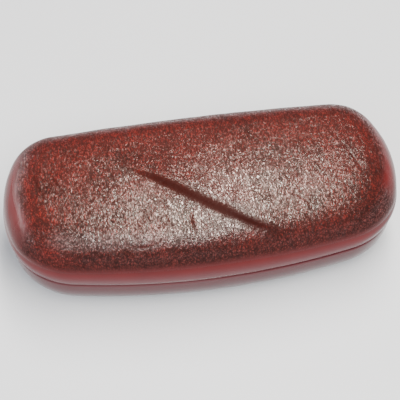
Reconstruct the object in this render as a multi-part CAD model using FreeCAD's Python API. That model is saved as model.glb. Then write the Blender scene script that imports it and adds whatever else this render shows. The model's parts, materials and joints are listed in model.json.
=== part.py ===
"""Hard-shell spectacles case with a self-closing spring hinge.

Two pressed steel half shells carry a soft leatherette skin outside and a flocked tray inside.
The lid is padded and has an S-shaped wave pressed into its crown.
Frame: millimetres, +X along the case, -Y at the opening edge, +Y at the hinge, +Z up.
The origin is at the centre of the case's box, on the surface that the case rests on.
Every layer is the same form taken a few tenths of a millimetre further in, so each form below
takes an inset: its distance inward from the lid's outer skin.
"""

import FreeCAD
import Part
import math
import os

V = FreeCAD.Vector

# ---- overall form -------------------------------------------------------------------------
LENGTH = 162.0
WIDTH = 73.0
SEAM_HEIGHT = 20.0  # height of the parting plane
HEIGHT = 48.0  # to the top of the crown
SEAM_GAP = 0.4

# plan outline of the lid's outer skin, a straight back and four kinds of tangent arc
FRONT_RADIUS = 285.0
END_RADIUS = 51.0
END_CENTRE_Y = 3.5
FRONT_CORNER_RADIUS = 29.0
BACK_CORNER_RADIUS = 21.0

# side profiles
CROWN_RADIUS_LONG = 900.0
CROWN_RADIUS_SHORT = 205.0
LID_SHOULDER_RADIUS = 18.0
BASE_EDGE_RADIUS = 17.0
LID_LIP_RADIUS = 2.2
BASE_LIP_RADIUS = 1.8

# ---- layers, from the lid's outer skin inward ---------------------------------------------
SKIN = 0.9
PADDING = 1.0
STEEL = 0.4
TUCK_HEIGHT = 4.0  # how far the skin is turned in behind the rim
LINER = 0.75
LINER_BELOW_RIM = 1.2
PAD = 1.1

BASE_SKIN_INSET = PADDING  # the base has no padding, so the lid overhangs it
STEEL_OUTER = SKIN + PADDING
STEEL_INNER = STEEL_OUTER + STEEL
TUCK_INNER = STEEL_INNER + SKIN
LINER_OUTER = 3.5
LINER_INNER = LINER_OUTER + LINER
PAD_CLEARANCE = 0.05
PAD_EDGE_INSET = 19.0

# ---- wave pressed into the lid ---------------------------------------------------------------
WAVE_GROOVE_RADIUS = 3.0
# plan position and depth along the wave, from the middle of the crown down over the front shoulder;
# it starts and ends just clear of the skin, so that it fades out
WAVE = [
    (-33, 5, -0.2),
    (-22, -1.9, 1.0),
    (-9.5, -10.8, 1.3),
    (3, -21.4, 1.3),
    (14, -27.6, 1.0),
    (29, -31.6, -0.2),
]

# ---- hinge ------------------------------------------------------------------------------------
PIN_RADIUS = 0.75
PIN_CLEARANCE = 0.05
LEAF = 0.5
KNUCKLE_RADIUS = PIN_RADIUS + PIN_CLEARANCE + LEAF
AXIS_INSET = STEEL_INNER + LEAF - KNUCKLE_RADIUS
LEAF_HALF_WIDTH = 34.0
LEAF_REACH = 9.5  # from the axis to the far edge of a leaf
LEAF_SETBACK = 1.7  # from the axis to the near edge, clear of the other leaf's knuckles
KNUCKLE_GAP = 0.2
SPRING_SPACE = 5.0
CENTRE_KNUCKLE = 12.0
LID_KNUCKLE = 12.0
END_KNUCKLE = 8.4
PIN_HEAD_RADIUS = 1.2
PIN_HEAD = 0.5
RIM_NOTCH_HALF_WIDTH = LEAF_HALF_WIDTH + 0.6

SPRING_WIRE_RADIUS = 0.2
SPRING_COIL_RADIUS = 1.02
SPRING_TURNS = 6
SPRING_LEG = 6.0
SPRING_LEG_CLEARANCE = 0.15  # from the leg's tip to its leaf
SPRING_SLOT_REACH = 4.8

RIVET_XS = (-28.0, -17.0, 17.0, 28.0)
RIVET_OFFSET = 5.3  # from the axis, up on the lid and down on the base
RIVET_RADIUS = 0.9
RIVET_HEAD_RADIUS = 1.6
RIVET_INNER_HEAD = 0.5
RIVET_OUTER_HEAD = 0.35

# ---- strips over the hinge barrel, leatherette outside and cloth inside ------------------------
STRIP = 0.8
STRIP_HALF_WIDTH = 36.0
STRIP_DOWN = 7.0
STRIP_UP = 8.0
STRIP_CLEARANCE = 0.1
STRIP_MARGIN = 0.4  # round the strip in the covers' windows
STRIP_OVER_BARREL = 0.3
STRIP_FREE = 3.0  # from the axis to where the strip leaves the shells
LINING = 0.4
LINING_HALF_WIDTH = 38.0
LINING_SPREAD = 5.5  # from the axis to each edge
LINING_SLACK = 2.4  # how far the closed strip bulges into the case
STRIP_PROUD = STRIP + STRIP_OVER_BARREL + KNUCKLE_RADIUS - AXIS_INSET

# The strip stands a little proud of the skin, so the plan is shifted to centre the whole box.
PLAN_SHIFT = -STRIP_PROUD / 2
BACK_Y = WIDTH / 2 + PLAN_SHIFT
FRONT_Y = -WIDTH / 2 + PLAN_SHIFT
AXIS_Y = BACK_Y - AXIS_INSET
FAR = 200.0  # reach of a cutting block that has to pass clean through


# ---- forms -----------------------------------------------------------------------------------
def plan_centres():
    """Centres of the right-hand arcs of the plan outline: front, front corner, end, back corner."""
    front = V(0, FRONT_Y + FRONT_RADIUS, 0)
    end = V(LENGTH / 2 - END_RADIUS, END_CENTRE_Y + PLAN_SHIFT, 0)
    back_y = BACK_Y - BACK_CORNER_RADIUS
    reach = END_RADIUS - BACK_CORNER_RADIUS
    back = V(end.x + math.sqrt(reach**2 - (back_y - end.y) ** 2), back_y, 0)
    # the front corner touches the front and end arcs from inside
    far_front = FRONT_RADIUS - FRONT_CORNER_RADIUS
    far_end = END_RADIUS - FRONT_CORNER_RADIUS
    apart = (end - front).Length
    along = (far_front**2 - far_end**2 + apart**2) / (2 * apart)
    across = math.sqrt(far_front**2 - along**2)
    line = (end - front).normalize()
    corner = front + line * along + V(-line.y, line.x, 0) * across
    return front, corner, end, back


def heading(start, finish):
    return math.atan2(finish.y - start.y, finish.x - start.x)


def plan_face(inset, z):
    """The outline as a face at height z, every arc drawn in by the inset."""
    front, corner, end, back = plan_centres()
    half_turn = math.pi / 2
    turns = [-half_turn, heading(front, corner), heading(end, corner), heading(end, back), half_turn]
    radii = [FRONT_RADIUS, FRONT_CORNER_RADIUS, END_RADIUS, BACK_CORNER_RADIUS]
    arcs = list(zip([front, corner, end, back], radii))

    def on_arc(centre, radius, angle, side):
        x = centre.x + (radius - inset) * math.cos(angle)
        return V(side * x, centre.y + (radius - inset) * math.sin(angle), z)

    def edge(i, side):
        centre, radius = arcs[i]
        first, last = turns[i], turns[i + 1]
        ends = [on_arc(centre, radius, a, side) for a in (first, (first + last) / 2, last)]
        if side < 0:
            ends.reverse()
        return Part.Arc(*ends).toShape()

    right = [edge(i, 1) for i in range(1, 4)]
    left = [edge(i, -1) for i in (3, 2, 1)]
    front_radius = FRONT_RADIUS - inset
    front_ends = [on_arc(front, FRONT_RADIUS, turns[1], side) for side in (-1, 1)]
    front_arc = Part.Arc(front_ends[0], V(0, front.y - front_radius, z), front_ends[1]).toShape()
    back_line = Part.makeLine(V(back.x, BACK_Y - inset, z), V(-back.x, BACK_Y - inset, z))
    return Part.Face(Part.Wire([front_arc] + right + [back_line] + left))


def prism(inset, low, high):
    return plan_face(inset, low).extrude(V(0, 0, high - low))


def crown(inset):
    """Everything under the lid's crown: an arc across the case, swung along it on a longer one."""
    radius = CROWN_RADIUS_SHORT - inset
    half = WIDTH * 0.7
    centre_z = HEIGHT - CROWN_RADIUS_SHORT
    edge_z = centre_z + math.sqrt(radius**2 - half**2)
    floor_z = -10.0
    top = Part.Arc(V(0, -half, edge_z), V(0, 0, centre_z + radius), V(0, half, edge_z)).toShape()
    sides = [(half, edge_z), (half, floor_z), (-half, floor_z), (-half, edge_z)]
    lines = [Part.makeLine(V(0, *a), V(0, *b)) for a, b in zip(sides, sides[1:])]
    section = Part.Face(Part.Wire([top] + lines))
    section.translate(V(0, PLAN_SHIFT, 0))
    swing = math.degrees(math.asin(LENGTH * 0.6 / CROWN_RADIUS_LONG))
    pivot = V(0, 0, HEIGHT - CROWN_RADIUS_LONG)
    section.rotate(pivot, V(0, 1, 0), -swing)
    return section.revolve(pivot, V(0, 1, 0), 2 * swing)


def flat_edges_at(shape, z):
    """The edges of a shape that lie at height z all along."""
    return [e for e in shape.Edges if all(abs(p.z - z) < 1e-3 for p in e.discretize(5))]


def plain_lid_form(inset, low):
    """The lid as a solid block, its outline up to its crown with the shoulder rounded."""
    block = prism(inset, low, HEIGHT + 5).common(crown(inset))
    shoulder = [
        e for e in block.Edges
        if min(p.z for p in e.discretize(5)) > HEIGHT - LID_SHOULDER_RADIUS
    ]
    return block.makeFillet(LID_SHOULDER_RADIUS - inset, shoulder)


def wave_path():
    """The centre line of the wave's groove, standing off the skin by the groove's radius less its depth."""
    points = []
    for x, y, depth in WAVE:
        stand_off = plain_lid_form(depth - WAVE_GROOVE_RADIUS, SEAM_HEIGHT)
        plumb = Part.makeLine(V(x, y, SEAM_HEIGHT + 1), V(x, y, HEIGHT + 10)).common(stand_off)
        points.append(max((v.Point for v in plumb.Vertexes), key=lambda point: point.z))
    path = Part.BSplineCurve()
    path.interpolate(points)
    return path


WAVE_PATH = wave_path()


def wave(inset):
    """The wave's groove as a solid: a round bar along its path, thicker for each layer further in."""
    path = WAVE_PATH.toShape()
    start = WAVE_PATH.FirstParameter
    section = Part.makeCircle(WAVE_GROOVE_RADIUS + inset, WAVE_PATH.value(start), WAVE_PATH.tangent(start)[0])
    return Part.Wire([path]).makePipeShell([Part.Wire(section)], True, False)


def lid_form(inset, low, lip=0.0):
    """The lid as a solid block with the wave pressed in and, at choice, a rounded lip."""
    block = plain_lid_form(inset, low)
    if lip:
        block = block.makeFillet(lip, flat_edges_at(block, low))
    return block.cut(wave(inset))


def base_form(inset, high, lip=0.0):
    """The base as a solid block, with its lower edge rounded."""
    low = inset - BASE_SKIN_INSET
    block = prism(inset, low, high)
    block = block.makeFillet(BASE_EDGE_RADIUS - low, flat_edges_at(block, low))
    if lip:
        block = block.makeFillet(lip, flat_edges_at(block, high))
    return block


def base_curl(inset, z):
    """How far the base's back wall has curved in from the vertical at height z."""
    radius = BASE_EDGE_RADIUS - (inset - BASE_SKIN_INSET)
    return radius - math.sqrt(radius**2 - max(0.0, BASE_EDGE_RADIUS - z) ** 2)


def rear_block(half_width, low, high):
    """A block across the back of the case, to cut an opening for the hinge."""
    return Part.makeBox(2 * half_width, FAR, high - low, V(-half_width, BACK_Y / 2, low))


def tube_x(radius, start, length, y=AXIS_Y, z=SEAM_HEIGHT):
    return Part.makeCylinder(radius, length, V(start, y, z), V(1, 0, 0))


# ---- openings shared by several pieces ------------------------------------------------------
def strip_window():
    low = SEAM_HEIGHT - STRIP_DOWN - STRIP_MARGIN
    high = SEAM_HEIGHT + STRIP_UP + STRIP_MARGIN
    return rear_block(STRIP_HALF_WIDTH + STRIP_MARGIN, low, high)


def barrel_notch():
    return rear_block(RIM_NOTCH_HALF_WIDTH, SEAM_HEIGHT - LEAF_SETBACK, SEAM_HEIGHT + LEAF_SETBACK)


# ---- lid ------------------------------------------------------------------------------------------
LID_LOW = SEAM_HEIGHT + SEAM_GAP / 2
BASE_HIGH = SEAM_HEIGHT - SEAM_GAP / 2


def lid_core():
    """What the lid's skin is stretched over: the padding and the steel as one block."""
    return lid_form(SKIN, LID_LOW + SKIN, PADDING)


def turned_in_skin(form, core, tuck_outer, tuck_inner, low, high):
    """A skin round a core, turned in behind the rim: between low and high the core gives way to
    the sleeve that lies between the two tuck forms."""
    sleeve = tuck_outer.cut(tuck_inner).common(prism(0, low, high))
    return form.cut(core.cut(sleeve)).cut(tuck_inner).cut(strip_window())


def lid_cover(core):
    form = lid_form(0, LID_LOW, LID_LIP_RADIUS)
    high = LID_LOW + SKIN + TUCK_HEIGHT
    outer, inner = (prism(inset, SEAM_HEIGHT, high) for inset in (STEEL_INNER, TUCK_INNER))
    return turned_in_skin(form, core, outer, inner, LID_LOW + SKIN, HEIGHT)


def lid_padding(core, rivets):
    return core.cut(lid_form(STEEL_OUTER, 0)).cut(barrel_notch()).cut(rivets)


def lid_shell(core, rivets):
    steel = core.common(lid_form(STEEL_OUTER, 0)).cut(lid_form(STEEL_INNER, 0))
    return steel.cut(barrel_notch()).cut(rivets)


def lid_liner():
    low = LID_LOW + LINER_BELOW_RIM
    return lid_form(LINER_OUTER, low).cut(lid_form(LINER_INNER, 0))


def lid_pad():
    sheet = lid_form(STEEL_INNER + PAD_CLEARANCE, LID_LOW).cut(lid_form(LINER_OUTER - PAD_CLEARANCE, 0))
    return sheet.common(prism(PAD_EDGE_INSET, SEAM_HEIGHT, HEIGHT))


# ---- base -------------------------------------------------------------------------------------------
def base_core():
    return base_form(STEEL_OUTER, BASE_HIGH - SKIN)


def base_cover(core):
    form = base_form(BASE_SKIN_INSET, BASE_HIGH, BASE_LIP_RADIUS)
    outer, inner = (base_form(inset, HEIGHT) for inset in (STEEL_INNER, TUCK_INNER))
    high = BASE_HIGH - SKIN
    return turned_in_skin(form, core, outer, inner, high - TUCK_HEIGHT, high)


def base_shell(core, rivets):
    steel = core.cut(base_form(STEEL_INNER, HEIGHT))
    return steel.cut(barrel_notch()).cut(rivets)


def base_liner():
    high = BASE_HIGH - LINER_BELOW_RIM
    return base_form(LINER_OUTER, high).cut(base_form(LINER_INNER, HEIGHT))


def base_pad():
    low = STEEL_INNER - BASE_SKIN_INSET + PAD_CLEARANCE
    return prism(PAD_EDGE_INSET, low, low + PAD)


# ---- hinge ------------------------------------------------------------------------------------------
def knuckle_spans():
    """Where the knuckles and springs sit along the pin, from the middle out, on the right-hand side."""
    centre_end = CENTRE_KNUCKLE / 2
    spring = centre_end + KNUCKLE_GAP
    lid = spring + SPRING_SPACE + KNUCKLE_GAP
    end = lid + LID_KNUCKLE + KNUCKLE_GAP
    return {"spring": spring, "lid": lid, "end": end, "barrel": end + END_KNUCKLE}


SPANS = knuckle_spans()


def leaf(sheet, side, knuckles, rivets):
    """A hinge leaf: a strip of sheet that follows the shell, with knuckles rolled at the axis.
    side is +1 for the lid's leaf, which stands above the axis, and -1 for the base's."""
    near = SEAM_HEIGHT + side * LEAF_SETBACK
    far = SEAM_HEIGHT + side * LEAF_REACH
    plate = sheet.common(rear_block(LEAF_HALF_WIDTH, min(near, far), max(near, far)))
    for start, length in knuckles:
        tongue_low = min(SEAM_HEIGHT, near)
        corner = V(start, BACK_Y - STEEL_INNER - LEAF, tongue_low)
        tongue = Part.makeBox(length, LEAF, LEAF_SETBACK, corner)
        plate = plate.fuse(tongue).fuse(tube_x(KNUCKLE_RADIUS, start, length))
    slot_low = min(SEAM_HEIGHT, SEAM_HEIGHT + side * SPRING_SLOT_REACH)
    for slot_x in (SPANS["spring"] - 0.1, -SPANS["spring"] - SPRING_SPACE - 0.1):
        corner = V(slot_x, BACK_Y / 2, slot_low)
        slot = Part.makeBox(SPRING_SPACE + 0.2, FAR, SPRING_SLOT_REACH, corner)
        plate = plate.cut(slot)
    bore = tube_x(PIN_RADIUS + PIN_CLEARANCE, -LENGTH, 2 * LENGTH)
    return plate.cut(bore).cut(rivets).removeSplitter()


def base_leaf(rivets):
    sheet = base_form(STEEL_INNER, HEIGHT).cut(base_form(STEEL_INNER + LEAF, HEIGHT))
    ends = [(SPANS["end"], END_KNUCKLE), (-SPANS["barrel"], END_KNUCKLE)]
    return leaf(sheet, -1, ends + [(-CENTRE_KNUCKLE / 2, CENTRE_KNUCKLE)], rivets)


def lid_leaf(rivets):
    sheet = lid_form(STEEL_INNER, 0).cut(lid_form(STEEL_INNER + LEAF, 0))
    knuckles = [(SPANS["lid"], LID_KNUCKLE), (-SPANS["lid"] - LID_KNUCKLE, LID_KNUCKLE)]
    return leaf(sheet, 1, knuckles, rivets)


def hinge_pin():
    reach = SPANS["barrel"] + KNUCKLE_GAP
    pin = tube_x(PIN_RADIUS, -reach, 2 * reach)
    for start in (reach, -reach - PIN_HEAD):
        pin = pin.fuse(tube_x(PIN_HEAD_RADIUS, start, PIN_HEAD))
    return pin.removeSplitter()


def torsion_spring(start):
    """A close coil round the pin, one leg down on the base's leaf and one up on the lid's."""
    travel = SPRING_SPACE - 2 * KNUCKLE_GAP - 2 * SPRING_WIRE_RADIUS
    first_x = start + KNUCKLE_GAP + SPRING_WIRE_RADIUS
    helix = Part.makeHelix(travel / SPRING_TURNS, travel, SPRING_COIL_RADIUS)
    # the helix runs up +Z from +X; lay it along +X, starting on the side that faces the tray
    helix.rotate(V(0, 0, 0), V(0, 1, 0), 90)
    helix.rotate(V(0, 0, 0), V(1, 0, 0), -90)
    begin = V(first_x, AXIS_Y - SPRING_COIL_RADIUS, SEAM_HEIGHT)
    helix.translate(V(first_x, AXIS_Y, SEAM_HEIGHT))
    if (helix.Vertexes[0].Point - begin).Length > 0.01:
        raise ValueError(f"the coil starts at {helix.Vertexes[0].Point}, not at {begin}")
    tangent = helix.Edges[0].tangentAt(helix.Edges[0].FirstParameter)
    section = Part.Wire(Part.makeCircle(SPRING_WIRE_RADIUS, begin, tangent))
    coil = Part.Wire(helix.Edges).makePipeShell([section], True, True)
    stand_off = STEEL_INNER + LEAF + SPRING_LEG_CLEARANCE + SPRING_WIRE_RADIUS
    base_stand_off = stand_off + base_curl(STEEL_INNER + LEAF, SEAM_HEIGHT - SPRING_LEG)
    for x, up, inset in ((first_x, -1, base_stand_off), (first_x + travel, 1, stand_off)):
        root = V(x, begin.y, SEAM_HEIGHT)
        leg = V(0, BACK_Y - inset - begin.y, up * SPRING_LEG)
        coil = coil.fuse(Part.makeCylinder(SPRING_WIRE_RADIUS, leg.Length, root, leg))
        coil = coil.fuse(Part.makeSphere(SPRING_WIRE_RADIUS, root))
    return coil


def rivet(x, z, tilt, outer, inner):
    """A rivet through shell and leaf. outer and inner are the y of the joint's two faces at its axis,
    and tilt is how far its outer end points below level, in degrees."""
    body = Part.makeCylinder(RIVET_RADIUS, outer - inner, V(0, inner, 0), V(0, 1, 0))
    body = body.fuse(Part.makeCylinder(RIVET_HEAD_RADIUS, RIVET_OUTER_HEAD, V(0, outer, 0), V(0, 1, 0)))
    head = Part.makeCylinder(RIVET_HEAD_RADIUS, RIVET_INNER_HEAD, V(0, inner, 0), V(0, -1, 0))
    body = body.fuse(head.makeFillet(RIVET_INNER_HEAD * 0.6, flat_edges_at_y(head, inner - RIVET_INNER_HEAD)))
    body = body.removeSplitter()
    body.rotate(V(0, (outer + inner) / 2, 0), V(1, 0, 0), -tilt)
    body.translate(V(x, 0, z))
    return body


def flat_edges_at_y(shape, y):
    return [e for e in shape.Edges if all(abs(p.y - y) < 1e-3 for p in e.discretize(5))]


def rivets(side):
    z = SEAM_HEIGHT + side * RIVET_OFFSET
    drop, tilt = 0.0, 0.0
    if side < 0:
        # the base's wall has begun to curve under at the rivets
        radius = BASE_EDGE_RADIUS - (STEEL_INNER - BASE_SKIN_INSET)
        slope = math.asin(max(0.0, BASE_EDGE_RADIUS - z) / radius)
        drop, tilt = radius * (1 - math.cos(slope)), math.degrees(slope)
    outer = BACK_Y - STEEL_OUTER - drop
    inner = BACK_Y - STEEL_INNER - LEAF - drop
    return Part.makeCompound([rivet(x, z, tilt, outer, inner) for x in RIVET_XS])


def hinge_cover(inset_base, inset_lid, middle_y, spread_down, spread_up, thickness, half_width):
    """A sheet over the barrel: it follows the base's wall at one inset, bends through middle_y at the
    axis and follows the lid's wall at another inset. A positive thickness is laid on its outer side."""

    def on_base(z):
        return V(-half_width, BACK_Y - inset_base - base_curl(inset_base, z), z)

    low, near = SEAM_HEIGHT - spread_down, SEAM_HEIGHT - STRIP_FREE
    lid_y = BACK_Y - inset_lid
    lid_near = V(-half_width, lid_y, SEAM_HEIGHT + STRIP_FREE)
    lid_end = V(-half_width, lid_y, SEAM_HEIGHT + spread_up)
    bend = Part.BSplineCurve()
    points = [on_base(near), V(-half_width, middle_y, SEAM_HEIGHT), lid_near]
    bend.interpolate(points, Tangents=[V(0, 0, 1)] * 3, TangentFlags=[True] * 3)
    lower = Part.Arc(on_base(low), on_base((low + near) / 2), on_base(near)).toShape()
    line = Part.Wire([lower, bend.toShape(), Part.makeLine(lid_near, lid_end)])
    shifted = line.translated(V(0, thickness, 0))
    corners, shifted_corners = line.OrderedVertexes, shifted.OrderedVertexes
    ends = [Part.makeLine(corners[i].Point, shifted_corners[i].Point) for i in (0, -1)]
    section = Part.Face(Part.Wire(Part.__sortEdges__(line.Edges + shifted.Edges + ends)))
    return section.extrude(V(2 * half_width, 0, 0))


def spine_strip(all_rivets):
    """The leatherette strip that hides the barrel outside, on the base's steel and the lid's padding."""
    middle_y = AXIS_Y + KNUCKLE_RADIUS + STRIP_OVER_BARREL
    insets = [inset - STRIP_CLEARANCE / 2 for inset in (STEEL_OUTER, SKIN)]
    strip = hinge_cover(*insets, middle_y, STRIP_DOWN, STRIP_UP, STRIP, STRIP_HALF_WIDTH)
    return strip.cut(all_rivets)


def hinge_lining():
    """The cloth that hides the barrel inside, glued to both trays and slack between them."""
    inset = LINER_INNER + STRIP_CLEARANCE / 2
    middle_y = BACK_Y - inset - LINING_SLACK
    spread = LINING_SPREAD
    return hinge_cover(inset, inset, middle_y, spread, spread, -LINING, LINING_HALF_WIDTH)


# ---- build ------------------------------------------------------------------------------------------
def whole(shape):
    """The solids of a shape as one exportable shape."""
    solids = shape.Solids
    return solids[0] if len(solids) == 1 else Part.makeCompound(solids)


def build():
    lid_rivets, base_rivets = rivets(1), rivets(-1)
    core, tray = lid_core(), base_core()
    spring_left = -SPANS["spring"] - SPRING_SPACE
    return {
        "lid_cover": lid_cover(core),
        "lid_padding": lid_padding(core, lid_rivets),
        "lid_shell": lid_shell(core, lid_rivets),
        "lid_pad": lid_pad(),
        "lid_liner": lid_liner(),
        "lid_hinge_leaf": lid_leaf(lid_rivets),
        "lid_rivets": lid_rivets,
        "base_cover": base_cover(tray),
        "base_shell": base_shell(tray, base_rivets),
        "base_pad": base_pad(),
        "base_liner": base_liner(),
        "base_hinge_leaf": base_leaf(base_rivets),
        "base_rivets": base_rivets,
        "hinge_pin": hinge_pin(),
        "spring_right": torsion_spring(SPANS["spring"]),
        "spring_left": torsion_spring(spring_left),
        "spine_strip": spine_strip(Part.makeCompound([lid_rivets, base_rivets])),
        "hinge_lining": hinge_lining(),
    }


def main():
    os.makedirs("parts", exist_ok=True)
    for name, shape in build().items():
        piece = whole(shape)
        piece.exportStep(f"parts/{name}.step")
        print(f"{name:16s} solids {len(piece.Solids)} valid {piece.isValid()} volume {piece.Volume:9.1f}")


main()
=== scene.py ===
"""Looks of a hard spectacles case: leatherette over foam and steel, flocked trays, a cloth hinge lining.

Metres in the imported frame: +X along the case, -Y at the opening edge, +Z up. The skins, the foam and the
trays are the same form taken inward by different insets. Each is drawn as rows of points that run from the
middle of its outer face, over the rounded edge, down the wall, round the rim and back to the middle of its
inner face.
"""

import bpy
import bmesh
import json
import math
import numpy as np
from mathutils import Matrix, Vector, noise


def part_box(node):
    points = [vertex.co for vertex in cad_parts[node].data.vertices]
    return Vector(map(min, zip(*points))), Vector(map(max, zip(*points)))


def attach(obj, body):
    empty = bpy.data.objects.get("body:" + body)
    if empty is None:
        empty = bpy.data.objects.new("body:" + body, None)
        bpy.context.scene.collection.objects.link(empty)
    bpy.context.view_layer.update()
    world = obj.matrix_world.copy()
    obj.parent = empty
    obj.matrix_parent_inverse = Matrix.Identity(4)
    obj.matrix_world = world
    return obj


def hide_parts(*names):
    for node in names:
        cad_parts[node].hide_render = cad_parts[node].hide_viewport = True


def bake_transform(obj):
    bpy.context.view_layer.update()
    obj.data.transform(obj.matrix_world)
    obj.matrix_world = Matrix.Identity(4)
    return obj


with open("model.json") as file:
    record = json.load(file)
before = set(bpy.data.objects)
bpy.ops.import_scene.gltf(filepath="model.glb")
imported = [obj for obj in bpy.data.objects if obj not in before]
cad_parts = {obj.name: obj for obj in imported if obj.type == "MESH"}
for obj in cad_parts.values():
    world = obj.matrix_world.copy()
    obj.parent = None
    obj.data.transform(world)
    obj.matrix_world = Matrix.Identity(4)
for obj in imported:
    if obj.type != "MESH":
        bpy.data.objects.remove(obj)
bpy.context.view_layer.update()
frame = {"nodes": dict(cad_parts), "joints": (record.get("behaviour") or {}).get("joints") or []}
MM = 0.001

# ---- driving dimensions --------------------------------------------------------------------------
LID_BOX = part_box("lid_cover")
BASE_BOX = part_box("base_cover")
STRIP_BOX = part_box("spine_strip")
LINING_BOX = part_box("hinge_lining")
HINGE = next(joint["pos_m"] for joint in frame["joints"] if joint["name"] == "lid_hinge")
HALF_LENGTH = LID_BOX[1].x
FRONT_Y, BACK_Y = LID_BOX[0].y, LID_BOX[1].y
CENTRE_Y = (FRONT_Y + BACK_Y) / 2
LID_LOW, TOP_Z = LID_BOX[0].z, LID_BOX[1].z
BASE_HIGH = BASE_BOX[1].z
BASE_INSET = BASE_BOX[0].y - FRONT_Y

FRONT_RADIUS = 285 * MM
END_RADIUS = 51 * MM
END_CENTRE_Y = CENTRE_Y + 3.5 * MM
FRONT_CORNER_RADIUS = 29 * MM
BACK_CORNER_RADIUS = 21 * MM
CROWN_RADIUS_LONG = 900 * MM
CROWN_RADIUS_SHORT = 205 * MM
EDGE_DEPTH = 18 * MM  # inset of the line that the rounded edges of both halves turn about
BASE_EDGE_Z = EDGE_DEPTH - BASE_INSET

SKIN = 0.9 * MM
FOAM_GAP = 0.02 * MM
FOAM_BELOW_RIM = 1.3 * MM
STEEL_OUTER = 1.9 * MM
STEEL_INNER = 2.3 * MM
TUCK_INNER = 3.2 * MM
TUCK_HEIGHT = 4.0 * MM
LID_LIP = 2.2 * MM
BASE_LIP = 1.8 * MM
TUCK_LIP = 0.4 * MM
TRAY_OUTER = 3.5 * MM
TRAY_INNER = 4.25 * MM
TRAY_BELOW_RIM = 1.2 * MM
WALL_BULGE = 0.45 * MM

WINDOW_HALF_WIDTH = STRIP_BOX[1].x + 0.4 * MM
WINDOW_HIGH = STRIP_BOX[1].z + 0.4 * MM
WINDOW_LOW = STRIP_BOX[0].z - 0.4 * MM

# The pressed wave: its path in plan from the back left to the front right, in millimetres.
WAVE = [(-37, 6.4), (-30, 2.8), (-24, -1), (-18.1, -4.7), (-12.4, -8.5), (-6.9, -13.8),
        (-1.3, -18.6), (4.3, -22.7), (10, -26.1), (15.8, -28.8), (21.9, -30.4), (32, -32.3)]
WAVE_RISE = 0.85 * MM
WAVE_DROP = 0.75 * MM
WAVE_REACH = 10 * MM
WAVE_WIDTHS = (1.2 * MM, 3.4 * MM, 2.6 * MM)  # of the slope at its start, middle and end

# The groove in the steel and the tray behind the wave: its path in plan and its depth, in millimetres.
GROOVE = np.array([(-33, 5, -0.2), (-22, -1.9, 1.0), (-9.5, -10.8, 1.3), (3, -21.4, 1.3),
                   (14, -27.6, 1.0), (29, -31.6, -0.2)])
GROOVE_RADIUS = 3.0 * MM
PATH_STEP = 0.4 * MM

# Creases of the skin: three points of each in plan and its depth, in millimetres.
CREASES = [
    ((-7.5, -20.8), (-7.9, -25.0), (-6.2, -30.5), 0.25),
    ((-19.2, -21.5), (-17.1, -24.5), (-15.3, -28.0), 0.16),
    ((-35.0, -30.0), (-28.0, -31.5), (-21.0, -31.0), 0.14),
    ((54.6, 13.0), (59.9, -0.2), (64.3, -13.6), 0.12),
    ((65.2, 10.0), (65.9, 6.0), (65.4, 2.0), 0.12),
    ((-54.7, 17.2), (-50.5, 13.5), (-45.5, 8.5), 0.16),
    ((-60.5, 8.0), (-58.5, 0.5), (-55.5, -6.0), 0.2),
    ((-66.0, 12.0), (-66.5, 4.0), (-64.0, -5.0), 0.18),
    ((-20.0, 9.5), (-12.0, 5.5), (-3.0, 4.0), 0.12),
    ((33.0, -18.5), (38.0, -22.5), (41.0, -28.0), 0.14),
]


# ---- plan outline ------------------------------------------------------------------------------
def plan_arcs():
    """The right-hand arcs of the lid's outline from front to back: centre, radius, first and last angle."""
    front = np.array([0.0, FRONT_Y + FRONT_RADIUS])
    end = np.array([HALF_LENGTH - END_RADIUS, END_CENTRE_Y])
    back_y = BACK_Y - BACK_CORNER_RADIUS
    back_x = end[0] + math.sqrt((END_RADIUS - BACK_CORNER_RADIUS) ** 2 - (back_y - end[1]) ** 2)
    back = np.array([back_x, back_y])
    from_front, from_end = FRONT_RADIUS - FRONT_CORNER_RADIUS, END_RADIUS - FRONT_CORNER_RADIUS
    apart = np.hypot(*(end - front))
    along = (from_front**2 - from_end**2 + apart**2) / (2 * apart)
    across = math.sqrt(from_front**2 - along**2)
    line = (end - front) / apart
    corner = front + line * along + np.array([-line[1], line[0]]) * across

    def heading(start, finish):
        return math.atan2(finish[1] - start[1], finish[0] - start[0])

    turns = [-math.pi / 2, heading(front, corner), heading(end, corner), heading(end, back), math.pi / 2]
    circles = [
        (front, FRONT_RADIUS),
        (corner, FRONT_CORNER_RADIUS),
        (end, END_RADIUS),
        (back, BACK_CORNER_RADIUS),
    ]
    return [(centre, radius, turns[i], turns[i + 1]) for i, (centre, radius) in enumerate(circles)]


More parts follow.
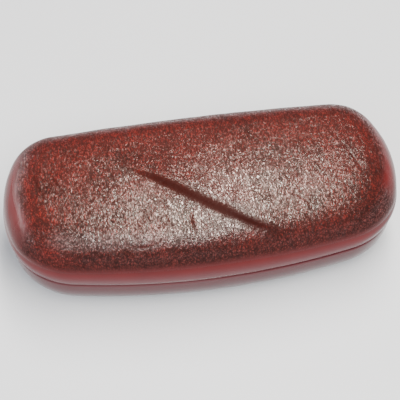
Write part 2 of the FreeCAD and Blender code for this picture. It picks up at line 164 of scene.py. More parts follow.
class Outline:
    """Points round the lid's outline with their outward normals, anticlockwise from the front left corner.
    across and deep count the spaces along the front or back and along each end."""

    SAMPLES = 400

    def __init__(self, spacing):
        points, normals = [], []
        for centre, radius, first, last in plan_arcs():
            angles = np.linspace(first, last, self.SAMPLES)
            heading = np.c_[np.cos(angles), np.sin(angles)]
            points.append(centre + radius * heading)
            normals.append(heading)
        last = points[-1][-1]
        points.append(np.c_[np.linspace(last[0], 0, self.SAMPLES), np.full(self.SAMPLES, last[1])])
        normals.append(np.tile([0.0, 1.0], (self.SAMPLES, 1)))
        p, n = np.concatenate(points), np.concatenate(normals)
        p, n = np.r_[p, p[::-1] * [-1, 1]], np.r_[n, n[::-1] * [-1, 1]]
        steps = np.hypot(*np.diff(p - n * EDGE_DEPTH / 2, axis=0).T)
        way = np.r_[0, np.cumsum(steps)]
        girth = way[-1]
        front_corner, back_corner = way[self.SAMPLES * 3 // 2], way[self.SAMPLES * 7 // 2]
        self.across = round(2 * front_corner / spacing)
        self.deep = round((back_corner - front_corner) / spacing)
        marks = [-front_corner, front_corner, back_corner, girth - back_corner, girth - front_corner]
        counts = [self.across, self.deep, self.across, self.deep]
        spots = [np.linspace(a, b, c, endpoint=False) for a, b, c in zip(marks, marks[1:], counts)]
        spots = np.concatenate(spots) % girth
        self.p = np.c_[np.interp(spots, way, p[:, 0]), np.interp(spots, way, p[:, 1])]
        n = np.c_[np.interp(spots, way, n[:, 0]), np.interp(spots, way, n[:, 1])]
        self.n = n / np.hypot(*n.T)[:, None]
        self.count = len(spots)
        turn = 2 * math.pi * spots / girth
        self.round = girth / (2 * math.pi) * np.c_[np.cos(turn), np.sin(turn)]
        inside = np.abs(self.p[:, 0]) < WINDOW_HALF_WIDTH
        self.at_back = inside & (self.p[:, 1] > 0)

    def at(self, inset):
        return self.p - self.n * inset


# ---- the form of one half ------------------------------------------------------------------------
def crown_z(xy, inset):
    """Height of the lid's crown: an arc across the case, swept along a longer one."""
    short_pivot = TOP_Z - CROWN_RADIUS_SHORT
    long_pivot = TOP_Z - CROWN_RADIUS_LONG
    section = short_pivot + np.sqrt((CROWN_RADIUS_SHORT - inset) ** 2 - (xy[:, 1] - CENTRE_Y) ** 2)
    return long_pivot + np.sqrt((section - long_pivot) ** 2 - xy[:, 0] ** 2)


def crown_normal(xy):
    lean_x = xy[:, 0] / CROWN_RADIUS_LONG
    lean_y = (xy[:, 1] - CENTRE_Y) / CROWN_RADIUS_SHORT
    normal = np.c_[lean_x, lean_y, np.ones(len(xy))]
    return normal / np.linalg.norm(normal, axis=1)[:, None]


class Half:
    """The form of the lid (side is 1) or the base (side is -1). A row is a ring of points and its normals."""

    def __init__(self, outline, side):
        self.outline, self.side = outline, side
        centre = outline.at(EDGE_DEPTH)
        z = crown_z(centre, EDGE_DEPTH) if side > 0 else np.full(outline.count, BASE_EDGE_Z)
        self.edge_line = np.c_[centre, z]
        self.wall = np.c_[outline.n, np.zeros(outline.count)]
        self.cap = self.cap_normal(centre)
        self.angle = np.arccos(np.sum(self.wall * self.cap, axis=1))[:, None]

    def cap_z(self, xy, inset):
        return crown_z(xy, inset) if self.side > 0 else np.full(len(xy), inset - BASE_INSET)

    def cap_normal(self, xy):
        return crown_normal(xy) if self.side > 0 else np.tile([0.0, 0.0, -1.0], (len(xy), 1))

    def edge(self, inset, t):
        """A row on the rounded edge: t is 0 at the wall and 1 at the crown or the underside."""
        normal = np.sin((1 - t) * self.angle) * self.wall + np.sin(t * self.angle) * self.cap
        normal /= np.sin(self.angle)
        return self.edge_line + (EDGE_DEPTH - inset) * normal, normal

    def at(self, inset, z):
        """A row on the wall."""
        ring = np.c_[self.outline.at(inset), np.broadcast_to(z, self.outline.count)]
        return ring, self.wall

    def face(self, inset, rim_z, spacing, bulge=0.0):
        """Rows down one face from the cap to rim_z, and the number of the row at the hinge window's edge."""
        radius = EDGE_DEPTH - inset
        if self.side > 0:
            wall_z = self.edge_line[:, 2]
            window_z = np.minimum(WINDOW_HIGH, wall_z - 0.8 * MM)
            rows = [self.edge(inset, t) for t in np.linspace(1, 0, int(radius * math.pi / 2 / spacing) + 2)]
            at_window = len(rows)
            steps = int((WINDOW_HIGH - rim_z) / spacing) + 2
            for z in np.linspace(window_z, rim_z, steps):
                swell = bulge * np.sin(math.pi * (z - rim_z) / (wall_z - rim_z))
                rows.append(self.at(inset - swell[:, None], z))
            return rows, at_window
        turn = math.asin((BASE_EDGE_Z - WINDOW_LOW) / radius) / (math.pi / 2)
        rows = [self.edge(inset, t) for t in np.linspace(1, turn, int(radius * 1.3 / spacing) + 2)]
        at_window = len(rows) - 1
        rows += [self.edge(inset, t) for t in np.linspace(turn, 0, int(0.3 * radius / spacing) + 2)[1:]]
        rows.append(self.at(inset, rim_z))
        return rows, at_window

    def turn(self, inset, z, radius, first, last, steps=6):
        """Rows round a rim's small edge about a line at one inset and height. Angles are in degrees from
        straight outward, turning towards the rim."""
        rows = []
        for angle in np.radians(np.linspace(first, last, steps)):
            ring, _ = self.at(inset - radius * math.cos(angle), z - self.side * radius * math.sin(angle))
            rows.append((ring, self.wall * math.cos(angle) - [0, 0, self.side * math.sin(angle)]))
        return rows


# ---- meshes from rows ----------------------------------------------------------------------------
def coons(ring, across, deep):
    """Fills a ring with a grid of points, across by deep spaces. The grid's first row is the front."""
    front, right = ring[: across + 1], ring[across : across + deep + 1]
    back = ring[across + deep : 2 * across + deep + 1][::-1]
    left = np.r_[ring[2 * across + deep :], ring[:1]][::-1]
    u = np.linspace(0, 1, across + 1)[None, :, None]
    v = np.linspace(0, 1, deep + 1)[:, None, None]
    grid = (1 - v) * front[None] + v * back[None] + (1 - u) * left[:, None] + u * right[:, None]
    corner = (1 - u) * (1 - v) * front[0] + u * (1 - v) * front[-1]
    corner += (1 - u) * v * back[0]
    corner += u * v * back[-1]
    return grid - corner


def cap_faces(row, inner, outline):
    """Quads of a cap: its border is the row that starts at vertex row, and its middle starts at inner."""
    across, deep = outline.across, outline.deep
    index = np.zeros((deep + 1, across + 1), int)
    index[1:-1, 1:-1] = inner + np.arange((deep - 1) * (across - 1)).reshape(deep - 1, across - 1)
    index[0] = row + np.arange(across + 1)
    index[:, -1] = row + across + np.arange(deep + 1)
    index[-1] = (row + across + deep + np.arange(across + 1))[::-1]
    index[:, 0] = np.r_[row + 2 * across + deep + np.arange(deep), row][::-1]
    return np.stack([index[:-1, :-1], index[:-1, 1:], index[1:, 1:], index[1:, :-1]], axis=-1).reshape(-1, 4)


def row_faces(rows, outline, window):
    """Quads between the rows, left out where the window is, and the faces that close the window's edge."""
    count = outline.count
    here = np.arange(count)
    follow = np.roll(here, -1)
    opened = outline.at_back & outline.at_back[follow]
    faces, closing = [], []
    for r in range(rows - 1):
        i = here[~opened] if window and window[0] <= r < window[1] else here
        upper, lower = r * count, (r + 1) * count
        faces.append(np.c_[upper + i, upper + follow[i], lower + follow[i], lower + i])
    if window:
        high, low = window[0] * count, window[1] * count
        closing = [(high + i, high + follow[i], low + follow[i], low + i) for i in here[opened]]
        for column in (here[opened][0], follow[here[opened][-1]]):
            closing.append([r * count + column for r in range(window[0], window[1] + 1)])
    return faces, closing


def layer(name, half, rows, insets, look, window=None, shape=None):
    """One closed piece from its rows. insets are those of its two caps, and shape moves its points along
    their normals."""
    outline = half.outline
    first = len(rows) * outline.count
    points = [np.concatenate([ring for ring, _ in rows])]
    normals = [np.concatenate([normal for _, normal in rows])]
    faces, closing = row_faces(len(rows), outline, window)
    for number, inset in ((0, insets[0]), (len(rows) - 1, insets[1])):
        ring = rows[number][0]
        xy = coons(ring[:, :2], outline.across, outline.deep)[1:-1, 1:-1].reshape(-1, 2)
        faces.append(cap_faces(number * outline.count, first + sum(len(p) for p in points[1:]), outline))
        points.append(np.c_[xy, half.cap_z(xy, inset)])
        normals.append(half.cap_normal(xy))
    points, normals = np.concatenate(points), np.concatenate(normals)
    moved, pressed_painted_shade = shape(points, normals) if shape else (np.zeros(len(points)), np.zeros(len(points)))
    points = points + normals * moved[:, None]
    flow = np.zeros((len(points), 3))
    flow[:first, :2] = np.tile(outline.round, (len(rows), 1))
    flow[:, 2] = EDGE_DEPTH * np.arcsin(np.clip(half.side * normals[:, 2], 0, 1))
    mesh = bpy.data.meshes.new(name)
    closing = [[int(v) for v in face] for face in closing]
    mesh.from_pydata(points.tolist(), [], np.concatenate(faces).tolist() + closing)
    mesh.attributes.new("flow", "FLOAT_VECTOR", "POINT").data.foreach_set("vector", (flow / MM).ravel())
    mesh.attributes.new("tight", "FLOAT", "POINT").data.foreach_set("value", tightness(normals, half.side))
    mesh.attributes.new("pressed_painted_shade", "FLOAT", "POINT").data.foreach_set("value", pressed_painted_shade)
    return finish_piece(name, mesh, look)


def finish_piece(name, mesh, look):
    """Drops unused points, turns the faces outward, smooths the shading and gives the piece its look."""
    form = bmesh.new()
    form.from_mesh(mesh)
    bmesh.ops.delete(form, geom=[v for v in form.verts if not v.link_faces], context="VERTS")
    bmesh.ops.recalc_face_normals(form, faces=form.faces)
    form.to_mesh(mesh)
    form.free()
    mesh.shade_smooth()
    mesh.set_sharp_from_angle(angle=math.radians(50))
    mesh.materials.append(look[0])
    piece = bpy.data.objects.new(name, mesh)
    bpy.context.scene.collection.objects.link(piece)
    return piece


def smoothstep(low, high, x):
    t = np.clip((x - low) / (high - low), 0, 1)
    return t * t * (3 - 2 * t)


def tightness(normals, side):
    """How smooth the skin is stretched: all of the walls, most of the lid's ends, half of the underside."""
    lean = side * normals[:, 2]
    if side < 0:
        return 1 - 0.5 * smoothstep(0.3, 0.9, lean)
    facing_end = np.abs(normals[:, 0]) / np.maximum(np.hypot(normals[:, 0], normals[:, 1]), 1e-6)
    at_end = smoothstep(0.75, 0.98, facing_end)
    return np.maximum(1 - smoothstep(0.0, 0.25, lean), at_end * (1 - smoothstep(0.66, 0.84, lean)))


# ---- the lid's pressed wave and creases ----------------------------------------------------------
def in_plan(path, degree=4):
    """The path in millimetres as close points in plan, and each given point's place along it, 0 to 1."""
    path = np.array(path) * MM
    way = np.r_[0, np.cumsum(np.hypot(*np.diff(path, axis=0).T))]
    spots = np.linspace(0, way[-1], int(way[-1] / PATH_STEP) + 2)
    fit = [np.polynomial.Polynomial.fit(way, path[:, i], min(degree, len(path) - 1)) for i in (0, 1)]
    return np.c_[fit[0](spots), fit[1](spots)], way / way[-1]


def on_surface(points, path):
    """The path in plan as closely spaced points of the surface."""
    plan, _ = in_plan(path)
    height = [points[np.argmin(np.sum((points[:, :2] - p) ** 2, axis=1)), 2] for p in plan]
    return np.c_[plan, height]


def beside(points, path):
    """Each point's distance from the path, positive on its left, and its place along it, 0 to 1."""
    near = np.array([np.sum((points - p) ** 2, axis=1) for p in path])
    nearest = np.argmin(near, axis=0)
    heading = np.gradient(path, axis=0)
    offset = points - path[nearest]
    turn = heading[nearest, 0] * offset[:, 1] - heading[nearest, 1] * offset[:, 0]
    return np.sqrt(near.min(axis=0)) * np.sign(turn), nearest / (len(path) - 1)


def press(points, normals):
    """The outward shift of each point of the lid's skin, and how far it is within the wave or a crease, where
    its colour is painted dark as shade.
    """
    top = normals[:, 2] > 0.02
    surface = points[top]
    side, along = beside(surface, on_surface(surface, WAVE))
    width = np.interp(along, (0.1, 0.45, 0.9), WAVE_WIDTHS)
    share = smoothstep(0, 0.3, along) * (1 - smoothstep(0.75, 1, along))
    level = np.tanh(2 * side / width)
    fade = np.exp(-((np.abs(side) / WAVE_REACH) ** 1.4))
    rise = np.where(level > 0, WAVE_RISE, WAVE_DROP) * level * fade * share
    # Painted shade along the wave's slope: this mask darkens the leatherette's colour there.
    shaded = np.exp(-(np.abs(side / (0.9 * width)) ** 3)) * share
    for *path, depth in CREASES:
        off, place = beside(surface, on_surface(surface, path))
        taper = np.sin(math.pi * np.clip(place, 0.02, 0.98)) ** 0.7
        line = taper * np.exp(-((off / (0.55 * MM)) ** 2))
        rise += depth * MM * (0.35 * taper * np.exp(-((off / (1.6 * MM)) ** 2)) - line)
        shaded = np.maximum(shaded, min(1, 4 * depth) * line)
    swell = [noise.noise(Vector(p) / (13 * MM)) + 0.5 * noise.noise(Vector(p) / (5 * MM)) for p in surface]
    rise += 0.16 * MM * np.array(swell) * smoothstep(0.15, 0.5, normals[top, 2])
    # The second value is the mask of painted shade. The skin there is also smooth and unlacquered.
    shift, smooth = np.zeros(len(points)), np.zeros(len(points))
    shift[top] = np.clip(rise, -0.85 * MM, 1.1 * MM)
    smooth[top] = shaded
    return shift, smooth


def follow_groove(points, normals):
    """The inward shift of the lid's tray, which is pressed by the groove of the steel behind it."""
    top = normals[:, 2] > 0.3
    plan, marks = in_plan(GROOVE[:, :2], 5)
    side, along = beside(points[top, :2], plan)
    depth = (np.interp(along, marks, GROOVE[:, 2]) + 0.15) * MM
    radius = GROOVE_RADIUS + TRAY_OUTER
    shift = np.zeros(len(points))
    shift[top] = -np.maximum(0, np.sqrt(np.maximum(0, radius**2 - side**2)) - (radius - depth))
    return shift, np.zeros(len(points))


# ---- node materials ------------------------------------------------------------------------------
class Look:
    """A Principled material and short ways to add nodes to it. Every method returns an output socket."""

    def __init__(self, name, **fixed):
        self.material = bpy.data.materials.new(name)
        self.material.use_nodes = True
        self.tree = self.material.node_tree
        self.shader = self.tree.nodes["Principled BSDF"]
        for key, value in fixed.items():
            self.shader.inputs[key.replace("_", " ")].default_value = value
        self.place = self.node("TexCoord").outputs["Object"]

    def node(self, kind, inputs=(), **settings):
        made = self.tree.nodes.new("ShaderNode" + kind)
        for key, value in settings.items():
            setattr(made, key, value)
        for key, value in dict(inputs).items():
            if isinstance(value, bpy.types.NodeSocket):
                self.tree.links.new(value, made.inputs[key])
            else:
                made.inputs[key].default_value = value
        return made

    def set(self, **inputs):
        for key, value in inputs.items():
            self.tree.links.new(value, self.shader.inputs[key.replace("_", " ")])

    def attribute(self, name, output="Fac"):
        return self.node("Attribute", attribute_name=name).outputs[output]

    def scaled(self, vector, scale):
        return self.node("Mapping", {"Vector": vector, "Scale": scale}).outputs[0]

    def noise(self, vector, scale, detail=2.0, rough=0.5, output="Fac"):
        wanted = {"Vector": vector, "Scale": scale, "Detail": detail, "Roughness": rough}
        return self.node("TexNoise", wanted).outputs[output]

    def cells(self, vector, scale):
        wanted = {"Vector": vector, "Scale": scale}
        return self.node("TexVoronoi", wanted, feature="DISTANCE_TO_EDGE").outputs["Distance"]

    def ridges(self, vector, stretch, scale):
        """How far a stretched noise is from its middle value: 0 along winding lines."""
        value = self.noise(self.scaled(vector, stretch), scale)
        return self.math("ABSOLUTE", self.math("SUBTRACT", value, 0.5))

    def math(self, operation, *values):
        return self.node("Math", dict(enumerate(values)), operation=operation).outputs[0]

    def shift(self, vector, by, amount):
        """vector moved by a colour's channels about their middle."""
        centred = self.node("VectorMath", {0: by, 1: (0.5, 0.5, 0.5)}, operation="SUBTRACT").outputs[0]
        wanted = {0: centred, 1: (amount, amount, amount), 2: vector}
        return self.node("VectorMath", wanted, operation="MULTIPLY_ADD").outputs[0]

    def remap(self, value, low, high, to_low=0.0, to_high=1.0):
        """A smooth step of value from low to high."""
        wanted = {"Value": value, "From Min": low, "From Max": high, "To Min": to_low, "To Max": to_high}
        return self.node("MapRange", wanted, interpolation_type="SMOOTHSTEP").outputs[0]

    def product(self, a, b):
        return self.math("MULTIPLY", a, b)

    def between(self, factor, a, b):
        """The value that goes from a to b with factor."""
        return self.node("Mix", {0: factor, 2: a, 3: b}, data_type="FLOAT").outputs[0]

    def mix(self, factor, a, b):
        node = self.node("Mix", data_type="RGBA")
        for index, value in ((0, factor), (6, a), (7, b)):
            if isinstance(value, bpy.types.NodeSocket):
                self.tree.links.new(value, node.inputs[index])
            else:
                node.inputs[index].default_value = value if index == 0 else (*value, 1)
        return node.outputs[2]

    def bump(self, height, distance, strength=1.0, under=None):
        wanted = {"Height": height, "Distance": distance, "Strength": strength}
        if under:
            wanted["Normal"] = under
        return self.node("Bump", wanted).outputs[0]


def leatherette():
    """Antiqued leatherette: lacquered grain between dark cracks, smooth where it is stretched."""
    look = Look("leatherette", Specular_IOR_Level=0.05, Coat_IOR=1.6, Coat_Roughness=0.19)
    place = look.scaled(look.place, (1000, 1000, 1000))
    tight = look.attribute("tight")
    pressed_painted_shade = look.attribute("pressed_painted_shade")
    flow = look.attribute("flow", "Vector")
    depth = look.node("SeparateXYZ", {0: flow}).outputs[2]
    x, y, z = look.node("SeparateXYZ", {0: place}).outputs[:]

    wander = look.noise(place, 0.4, 2, 0.6, "Color")
    bent = look.scaled(look.shift(place, wander, 2.2), (1.45, 0.8, 1.0))
    drawn_out = look.cells(look.scaled(bent, (1.1, 0.5, 1.0)), 0.85)
    at_left = look.remap(x, -12.0, -42.0)
    pebble = look.between(at_left, look.cells(bent, 0.78), drawn_out)
    split = look.remap(look.ridges(bent, (1.2, 0.6, 1.0), 0.55), 0.0, 0.06)
    crossing = look.remap(look.ridges(bent, (1.1, 0.8, 1.7), 0.6), 0.0, 0.06)
    dome = look.remap(pebble, 0.0, 0.4)
    crack = look.product(look.remap(pebble, 0.02, 0.2, 0.15, 1.0), look.product(split, crossing))
    tiny = look.noise(place, 2.2, 2, 0.5)

    combed = look.noise(look.scaled(flow, (1, 1, 0.15)), 0.5, 3, 0.6)
    ringed = look.noise(look.scaled(flow, (0.16, 0.16, 1)), 0.4, 3, 0.6)
    drawn = look.noise(look.scaled(bent, (1.0, 0.22, 0.5)), 0.3, 3, 0.6)
    on_shoulder = look.remap(depth, 24.0, 14.0)
    at_ends = look.remap(look.math("ABSOLUTE", x), 46.0, 62.0)
    fold = look.between(on_shoulder, drawn, look.between(at_ends, combed, ringed))
    fold = look.remap(look.math("ABSOLUTE", look.math("SUBTRACT", fold, 0.5)), 0.0, 0.04)

    patch = look.noise(look.shift(place, wander, 4.0), 0.07, 4, 0.6)
    # Painted shade: the patches are darker towards the front and redder towards the back, on top of the
    # leather's own random mottling.
    patch = look.remap(look.math("MULTIPLY_ADD", y, 0.0035, patch), 0.3, 0.62)
    red = look.mix(patch, (0.050, 0.0064, 0.0050), (0.076, 0.0068, 0.0052))
    dark = look.mix(patch, (0.009, 0.0025, 0.0023), (0.016, 0.0036, 0.0032))
    worn = look.product(crack, look.remap(tiny, 0.3, 0.62, 0.75, 1.0))
    worn = look.product(worn, look.math("MULTIPLY_ADD", fold, 0.75, 0.25))
    grained = look.mix(worn, dark, red)
    # Painted shade: the pressed wave and creases are painted near-black, standing in for the shade on their
    # slopes.
    grained = look.mix(pressed_painted_shade, grained, (0.012, 0.0015, 0.001))

    mottle = look.noise(place, 0.12, 3)
    # Painted reflection of the pale floor: the base's band (below) and the lid's lower band (rim) are greyer,
    # pinker copies of the wall colour. The lid's band is painted lighter and the base's band darker. The
    # mottle is the leather's own.
    below = look.mix(mottle, (0.038, 0.0060, 0.0085), (0.047, 0.0073, 0.0105))
    rim = look.mix(mottle, (0.075, 0.0230, 0.0270), (0.089, 0.0265, 0.0310))
    high = look.mix(mottle, (0.042, 0.0045, 0.005), (0.064, 0.0055, 0.006))
    smooth = look.mix(look.remap(z, 19.5, 20.5), below, rim)
    smooth = look.mix(look.remap(z, 22.0, 30.0), smooth, high)
    look.set(Base_Color=look.mix(tight, grained, smooth))
    look.set(Roughness=look.between(tight, look.math("MULTIPLY_ADD", crack, -0.3, 0.65), 0.26))

    height = look.math("MULTIPLY_ADD", dome, 0.08, look.product(crack, 0.28))
    height = look.math("MULTIPLY_ADD", look.noise(place, 0.2, 2), 1.2, height)
    height = look.math("MULTIPLY_ADD", fold, 0.35, height)
    still = look.math("MAXIMUM", tight, look.product(pressed_painted_shade, 0.8))
    relief = look.bump(look.product(height, look.math("MULTIPLY_ADD", still, -0.95, 1.0)), 0.09 * MM)

    shine = look.math("MULTIPLY_ADD", crack, 0.95, 0.03)
    shine = look.product(shine, look.remap(depth, 3.0, 13.0, 0.18, 1.0))
    shine = look.product(shine, look.remap(x, -72.0, -38.0, 0.5, 1.0))
    lacquer = look.between(tight, shine, look.remap(z, 18.0, 24.0, 0.6, 0.12))
    lacquer = look.product(lacquer, look.math("SUBTRACT", 1.0, pressed_painted_shade))
    look.set(Normal=relief, Coat_Normal=relief, Coat_Weight=lacquer)
    return look.material


def flock():
    """Short flocked fibres: a soft, dense nap with faint brushed patches."""
    look = Look("flock", Specular_IOR_Level=0.1, Sheen_Weight=0.25, Sheen_Roughness=0.4)
    place = look.scaled(look.place, (1000, 1000, 1000))
    nap = look.noise(place, 6.0, 4, 0.7)
    brushed = look.remap(look.noise(look.scaled(place, (0.6, 1.4, 1.0)), 0.05, 3), 0.35, 0.65)
    deep = look.mix(brushed, (0.008, 0.003, 0.003), (0.014, 0.005, 0.005))
    lit = look.mix(brushed, (0.024, 0.008, 0.008), (0.038, 0.013, 0.012))
    look.set(Base_Color=look.mix(look.remap(nap, 0.35, 0.65), deep, lit))
    look.set(Roughness=look.remap(nap, 0.3, 0.7, 1.0, 0.86))
    look.set(Normal=look.bump(nap, 0.12 * MM, 0.7))
    return look.material


def foam():
    """Open-cell foam."""
    look = Look("foam", Specular_IOR_Level=0.2)
    place = look.scaled(look.place, (1000, 1000, 1000))
    pores = look.cells(place, 2.2)
    # Painted shade: the foam is darker in the hollows at the cell edges, where the bump is low.
    look.set(Base_Color=look.mix(look.remap(pores, 0.0, 0.2), (0.26, 0.24, 0.19), (0.62, 0.59, 0.5)))
    look.set(Roughness=look.remap(pores, 0.0, 0.3, 1.0, 0.85))
    look.set(Normal=look.bump(pores, 0.3 * MM))
    return look.material


def lining():
    """A plain-woven cloth strip."""
    look = Look("lining", Specular_IOR_Level=0.1, Sheen_Weight=0.2, Sheen_Roughness=0.35)
    place = look.scaled(look.place, (1000, 1000, 1000))
    yarn = {"Vector": place, "Scale": 1.1, "Distortion": 0.4}
    warp, weft = [look.node("TexWave", yarn, bands_direction=way).outputs["Fac"] for way in "XZ"]
    weave = look.math("MAXIMUM", warp, weft)
    # Painted shade: the cloth is darker between the yarns, where the weave's bump is low.
    look.set(Base_Color=look.mix(weave, (0.008, 0.003, 0.003), (0.034, 0.012, 0.011)))
    look.set(Roughness=look.remap(weave, 0.0, 1.0, 0.95, 0.75))
    look.set(Normal=look.bump(weave, 0.08 * MM))
    return look.material


def felt():
    """Adhesive-backed felt."""
    look = Look("felt", Specular_IOR_Level=0.1, Sheen_Weight=0.3)
    place = look.scaled(look.place, (1000, 1000, 1000))
    fibres = look.noise(look.scaled(place, (1, 3.5, 1)), 1.6, 4, 0.7)
    look.set(Base_Color=look.mix(look.remap(fibres, 0.3, 0.7), (0.05, 0.05, 0.05), (0.15, 0.145, 0.135)))
    look.set(Roughness=look.remap(fibres, 0.2, 0.8, 1.0, 0.9))
    look.set(Normal=look.bump(fibres, 0.2 * MM))
    return look.material


def plated_steel(name, light, rough, stretch):
    """Plated steel with drawing lines along stretch and a mottled coat."""
    look = Look(name, Metallic=1.0)
    place = look.scaled(look.place, (1000, 1000, 1000))
    lines = look.noise(look.scaled(place, stretch), 1.0, 5, 0.7)
    mottle = look.noise(place, 0.3, 3)
    dull = tuple(0.72 * c for c in light)
    look.set(Base_Color=look.mix(look.remap(mottle, 0.35, 0.65), dull, light))
    look.set(Roughness=look.remap(lines, 0.3, 0.7, rough - 0.08, rough + 0.12))
    look.set(Normal=look.bump(lines, 0.02 * MM, 0.6))
    return look.material


# ---- the pieces ----------------------------------------------------------------------------------
def skin(name, half, insets, rim, lip, look, spacing, shape=None, bulge=0.0):
    """A leatherette skin: down its half, round the lip, in behind the rim and back up its inner face."""
    side = half.side
    outer, at_window = half.face(insets[0], rim + side * lip, spacing, bulge)
    inner, at_inner_window = half.face(insets[1], rim + side * SKIN, 3 * spacing)
    rows = outer + half.turn(insets[0] + lip, rim + side * lip, lip, 12, 90, 8)
    rows += half.turn(TUCK_INNER - TUCK_LIP, rim + side * TUCK_LIP, TUCK_LIP, 90, 180, 5)
    rows += [half.at(TUCK_INNER, rim + side * TUCK_HEIGHT), half.at(STEEL_INNER, rim + side * TUCK_HEIGHT)]
    rows += [half.at(STEEL_INNER, rim + side * SKIN)] + inner[::-1]
    window = (at_window, len(rows) - 1 - at_inner_window)
    return layer(name, half, rows, insets, look, window, shape)


def plain_layer(name, half, insets, rim, look, spacing, shape=None):
    """A tray or a foam layer: two faces and a rounded rim between them."""
    reach = (insets[1] - insets[0]) / 2
    outer, _ = half.face(insets[0], rim + half.side * reach, spacing)
    inner, _ = half.face(insets[1], rim + half.side * reach, spacing)
    rows = outer + half.turn(insets[0] + reach, rim + half.side * reach, reach, 20, 160) + inner[::-1]
    return layer(name, half, rows, insets, look, None, shape)


def strip(name, section, half_width, thickness, look, columns, tight=0.0):
    """A strip of cloth along X: its section is a line of (y, z) points, thickened to its left."""
    section = np.array(section)
    heading = np.gradient(section, axis=0)
    heading /= np.hypot(*heading.T)[:, None]
    left = np.c_[-heading[:, 1], heading[:, 0]]
    loop = np.r_[section, (section + thickness * left)[::-1]]
    xs = np.linspace(-half_width, half_width, columns)
    count = len(loop)
    points = [(x, y, z) for x in xs for y, z in loop]
    faces = []
    for c in range(columns - 1):
        near, far = c * count, (c + 1) * count
        faces += [(near + i, near + (i + 1) % count, far + (i + 1) % count, far + i) for i in range(count)]
    quads = len(section) - 1
    for c in (0, columns - 1):
        faces += [(c * count + i, c * count + i + 1, c * count + count - 2 - i, c * count + count - 1 - i)
                  for i in range(quads)]
    mesh = bpy.data.meshes.new(name)
    mesh.from_pydata(points, [], faces)
    flow = [(x / MM, z / MM, 0) for x, _, z in points]
    mesh.attributes.new("flow", "FLOAT_VECTOR", "POINT").data.foreach_set("vector", np.ravel(flow))
    mesh.attributes.new("tight", "FLOAT", "POINT").data.foreach_set("value", np.full(len(points), tight))
    return finish_piece(name, mesh, look)


def base_wall_y(inset, z):
    """Y of the base's back wall at one inset and height."""
    radius = EDGE_DEPTH - inset
    drop = max(0.0, BASE_EDGE_Z - z)
    return BACK_Y - EDGE_DEPTH + math.sqrt(radius**2 - drop**2)


def over_barrel(base_inset, lid_y, middle_y, low, high, free):
    """A section up the base's wall, through middle_y at the hinge's axis, and on up the lid's wall. It is
    off the walls within free of the axis."""
    section = [(base_wall_y(base_inset, z), z) for z in np.linspace(low, HINGE[2] - free, 8)]
    start, finish = section[-1][0], lid_y
    for t in np.linspace(0, 1, 9)[1:]:
        section.append((start + (middle_y - start) * smoothstep(0, 1, t), HINGE[2] - free * (1 - t)))
    for t in np.linspace(0, 1, 9)[1:]:
        section.append((middle_y + (finish - middle_y) * smoothstep(0, 1, t), HINGE[2] + free * t))
    section += [(lid_y, z) for z in np.linspace(HINGE[2] + free, high, 8)[1:]]
    return section


def bridge(piece, node):
    """Stands for a node that bends across the hinge, within reach of its axis."""
    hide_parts(node)
    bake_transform(piece)


def stand_for(piece, node, body):
    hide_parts(node)
    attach(piece, body)
    return piece


def twisted_spring(name, node, look):
    """A spring with its node's mesh, kept where the node is and joined to no body."""
    source = frame["nodes"][node]
    mesh = source.data.copy()
    mesh.transform(source.matrix_world)
    mesh.materials.clear()
    piece = finish_piece(name, mesh, look)
    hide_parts(node)
    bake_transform(piece)


leather = (leatherette(), "leatherette")
flocked = (flock(), "flocked_tray")
foamed = (foam(), "padding_foam")
lined = (lining(), "lining_cloth")

FINE, MEDIUM, COARSE = 0.5 * MM, 0.8 * MM, 1.2 * MM
lid_fine, lid_coarse = Half(Outline(FINE), 1), Half(Outline(COARSE), 1)
base_medium, base_coarse = Half(Outline(MEDIUM), -1), Half(Outline(COARSE), -1)

lid_skin = skin("lid_skin", lid_fine, (0.0, SKIN), LID_LOW, LID_LIP, leather, FINE, press, WALL_BULGE)
stand_for(lid_skin, "lid_cover", "lid")
base_skin = skin("base_skin", base_medium, (BASE_INSET, STEEL_OUTER), BASE_HIGH, BASE_LIP, leather, MEDIUM)
stand_for(base_skin, "base_cover", "base")

foam_insets, foam_rim = (SKIN + FOAM_GAP, STEEL_OUTER - FOAM_GAP), LID_LOW + FOAM_BELOW_RIM
lid_foam = plain_layer("lid_foam", lid_coarse, foam_insets, foam_rim, foamed, COARSE)
stand_for(lid_foam, "lid_padding", "lid")

tray_insets = (TRAY_OUTER, TRAY_INNER)
lid_tray_rim, base_tray_rim = LID_LOW + TRAY_BELOW_RIM, BASE_HIGH - TRAY_BELOW_RIM
lid_tray = plain_layer("lid_tray", lid_coarse, tray_insets, lid_tray_rim, flocked, COARSE, follow_groove)
stand_for(lid_tray, "lid_liner", "lid")
base_tray = plain_layer("base_tray", base_coarse, tray_insets, base_tray_rim, flocked, COARSE)
stand_for(base_tray, "base_liner", "base")

CLOTH_CLEARANCE = 0.05 * MM  # between both strips and the walls that they lie on
CLOTH_FREE = 3 * MM  # how far above and below the hinge's axis the strips are off the walls
STRIP_THICKNESS = 0.8 * MM
spine_middle = STRIP_BOX[1].y - STRIP_THICKNESS
spine_section = over_barrel(STEEL_OUTER - CLOTH_CLEARANCE, BACK_Y - SKIN + CLOTH_CLEARANCE, spine_middle,
                            STRIP_BOX[0].z, STRIP_BOX[1].z, CLOTH_FREE)
spine = strip("spine", spine_section[::-1], STRIP_BOX[1].x, STRIP_THICKNESS, leather, 90, 0.75)
bridge(spine, "spine_strip")

LINING_THICKNESS = 0.4 * MM
lining_inset = TRAY_INNER + CLOTH_CLEARANCE
lining_section = over_barrel(lining_inset, BACK_Y - lining_inset, LINING_BOX[0].y + LINING_THICKNESS,
                             LINING_BOX[0].z, LINING_BOX[1].z, CLOTH_FREE)
inner_cloth = strip("inner_lining", lining_section, LINING_BOX[1].x, LINING_THICKNESS, lined, 90)
bridge(inner_cloth, "hinge_lining")

spring_wire = (plated_steel("spring_wire", (0.5, 0.5, 0.52), 0.28, (6, 6, 6)), "spring_wire")
twisted_spring("closing_spring_right", "spring_right", spring_wire)
twisted_spring("closing_spring_left", "spring_left", spring_wire)

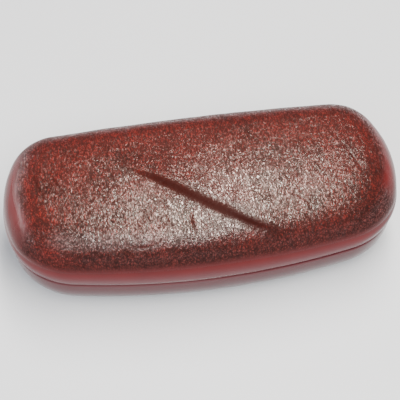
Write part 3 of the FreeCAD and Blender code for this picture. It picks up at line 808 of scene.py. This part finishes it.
inner_looks = {
    "shell_steel": plated_steel("shell_steel", (0.62, 0.62, 0.60), 0.36, (0.2, 3, 3)),
    "hinge_steel": plated_steel("hinge_steel", (0.70, 0.69, 0.66), 0.3, (0.3, 4, 4)),
    "rivet_steel": plated_steel("rivet_steel", (0.74, 0.72, 0.68), 0.25, (4, 4, 4)),
    "adhesive_felt": felt(),
}
inner_nodes = {
    "shell_steel": ["lid_shell", "base_shell"],
    "hinge_steel": ["lid_hinge_leaf", "base_hinge_leaf", "hinge_pin"],
    "rivet_steel": ["lid_rivets", "base_rivets"],
    "adhesive_felt": ["lid_pad", "base_pad"],
}
for name, members in inner_nodes.items():
    for member in members:
        materials = frame["nodes"][member].data.materials
        materials.clear()
        materials.append(inner_looks[name])


# ---- floor, lights and camera --------------------------------------------------------------------
def pale_floor():
    look = Look("pale_floor", Specular_IOR_Level=0.2, Emission_Color=(1, 1, 1, 1), Emission_Strength=0.1)
    tone = look.noise(look.place, 3.0, 2)
    look.set(Base_Color=look.mix(tone, (0.30, 0.32, 0.36), (0.32, 0.34, 0.38)))
    look.set(Roughness=look.remap(tone, 0, 1, 0.8, 0.9))
    bpy.ops.mesh.primitive_plane_add(size=6, location=(0, 0, 0))
    floor = bpy.context.object
    floor.name = "floor"
    floor.data.materials.append(look.material)


def from_angles(azimuth, elevation):
    """A unit vector: azimuth 0 is in front of the case (-Y) and grows towards +X, in degrees."""
    turn, lift = math.radians(azimuth), math.radians(elevation)
    return Vector((math.sin(turn) * math.cos(lift), -math.cos(turn) * math.cos(lift), math.sin(lift)))


def facing_case(place, up):
    """The matrix of something at place, from the case's middle, that looks at it along its own -Z."""
    z = Vector(place).normalized()
    x = Vector(up).cross(z).normalized()
    turn = Matrix((x, z.cross(x), z)).transposed().to_4x4()
    return Matrix.Translation(TARGET + Vector(place)) @ turn


def softbox(name, place, up, size, radiance, colour):
    """A rectangular light that faces the case. size is (across, along up)."""
    lamp = bpy.data.lights.new(name, "AREA")
    lamp.shape = "RECTANGLE"
    lamp.size, lamp.size_y = size
    lamp.color = colour
    lamp.energy = radiance * math.pi * size[0] * size[1]
    holder = bpy.data.objects.new(name, lamp)
    holder.matrix_world = facing_case(place, up)
    bpy.context.scene.collection.objects.link(holder)


TARGET = Vector((0, CENTRE_Y, LID_LOW))
CAMERA_DISTANCE = 573.6 * MM

pale_floor()
softbox("overhead", (0.13, -0.08, 0.75), (0, 1, 0), (0.19, 1.40), 60.0, (1.0, 0.92, 0.80))
softbox("left_strip", from_angles(-112, 6) * 0.7, (0, 0, 1), (1.1, 0.015), 150.0, (1.0, 0.95, 0.95))
softbox("front_fill", from_angles(-25, 42) * 0.9, (0, 0, 1), (0.9, 0.6), 8.0, (1.0, 0.98, 0.96))

world = bpy.data.worlds.new("studio")
world.use_nodes = True
world.node_tree.nodes["Background"].inputs["Color"].default_value = (0.9, 0.95, 1, 1)
world.node_tree.nodes["Background"].inputs["Strength"].default_value = 0.1
bpy.context.scene.world = world

lens = bpy.data.cameras.new("camera")
lens.lens = 124.56
lens.sensor_width = 36
lens.shift_x, lens.shift_y = -0.0056, 0.0197
camera = bpy.data.objects.new("camera", lens)
camera.matrix_world = facing_case(from_angles(-8.96, 52.22) * CAMERA_DISTANCE, (0, 0, 1))
bpy.context.scene.collection.objects.link(camera)
bpy.context.scene.camera = camera
